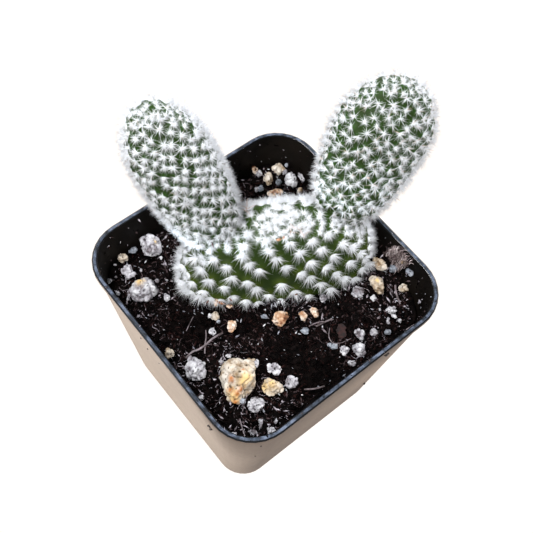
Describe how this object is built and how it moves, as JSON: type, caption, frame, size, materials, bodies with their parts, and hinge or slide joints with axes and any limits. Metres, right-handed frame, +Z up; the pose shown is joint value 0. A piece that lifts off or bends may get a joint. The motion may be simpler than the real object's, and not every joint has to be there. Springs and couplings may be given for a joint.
{
  "type": "potted bunny ears cactus",
  "caption": "Small potted cactus: a wide fuzzy base pad carries two upright oval ear pads, in a square tapered plastic pot of peat topped with pumice and perlite.",
  "frame": {"origin": "centre of the pot's flat underside", "axes": "+Z up. The pot stands corner to the front: its four corners lie on X and Y, and -Y faces the viewer. The left ear is on the -X side."},
  "size_m": [0.0816, 0.0816, 0.0966],
  "materials": {
    "pot_plastic": "satin",
    "peat": "matte",
    "pad_skin": "matte",
    "perlite_white": "matte",
    "pumice_cream": "matte",
    "pumice_rusty": "matte",
    "grit_grey": "matte",
    "bark": "matte",
    "twig": "matte"
  },
  "bodies": {
    "root": {"bark_chip": "bark", "base_pad": "pad_skin", "grey_grit_1": "grit_grey", "grey_grit_2": "grit_grey", "grey_grit_3": "grit_grey", "grey_grit_4": "grit_grey", "grey_grit_5": "grit_grey", "grey_grit_6": "grit_grey", "grey_grit_7": "grit_grey", "grey_grit_8": "grit_grey", "left_ear_pad": "pad_skin", "perlite_1": "perlite_white", "perlite_10": "perlite_white", "perlite_11": "perlite_white", "perlite_12": "perlite_white", "perlite_13": "perlite_white", "perlite_14": "perlite_white", "perlite_15": "perlite_white", "perlite_16": "perlite_white", "perlite_17": "perlite_white", "perlite_18": "perlite_white", "perlite_19": "perlite_white", "perlite_2": "perlite_white", "perlite_20": "perlite_white", "perlite_3": "perlite_white", "perlite_4": "perlite_white", "perlite_5": "perlite_white", "perlite_6": "perlite_white", "perlite_7": "perlite_white", "perlite_8": "perlite_white", "perlite_9": "perlite_white", "pot": "pot_plastic", "pumice_1": "pumice_cream", "pumice_10": "pumice_cream", "pumice_11": "pumice_cream", "pumice_2": "pumice_cream", "pumice_3": "pumice_cream", "pumice_4": "pumice_cream", "pumice_5": "pumice_cream", "pumice_6": "pumice_cream", "pumice_7": "pumice_cream", "pumice_8": "pumice_cream", "pumice_9": "pumice_cream", "right_ear_pad": "pad_skin", "rusty_pumice_1": "pumice_rusty", "rusty_pumice_2": "pumice_rusty", "rusty_pumice_3": "pumice_rusty", "rusty_pumice_4": "pumice_rusty", "rusty_pumice_5": "pumice_rusty", "soil": "peat", "twig_1": "twig", "twig_2": "twig"}
  },
  "joints": []
}
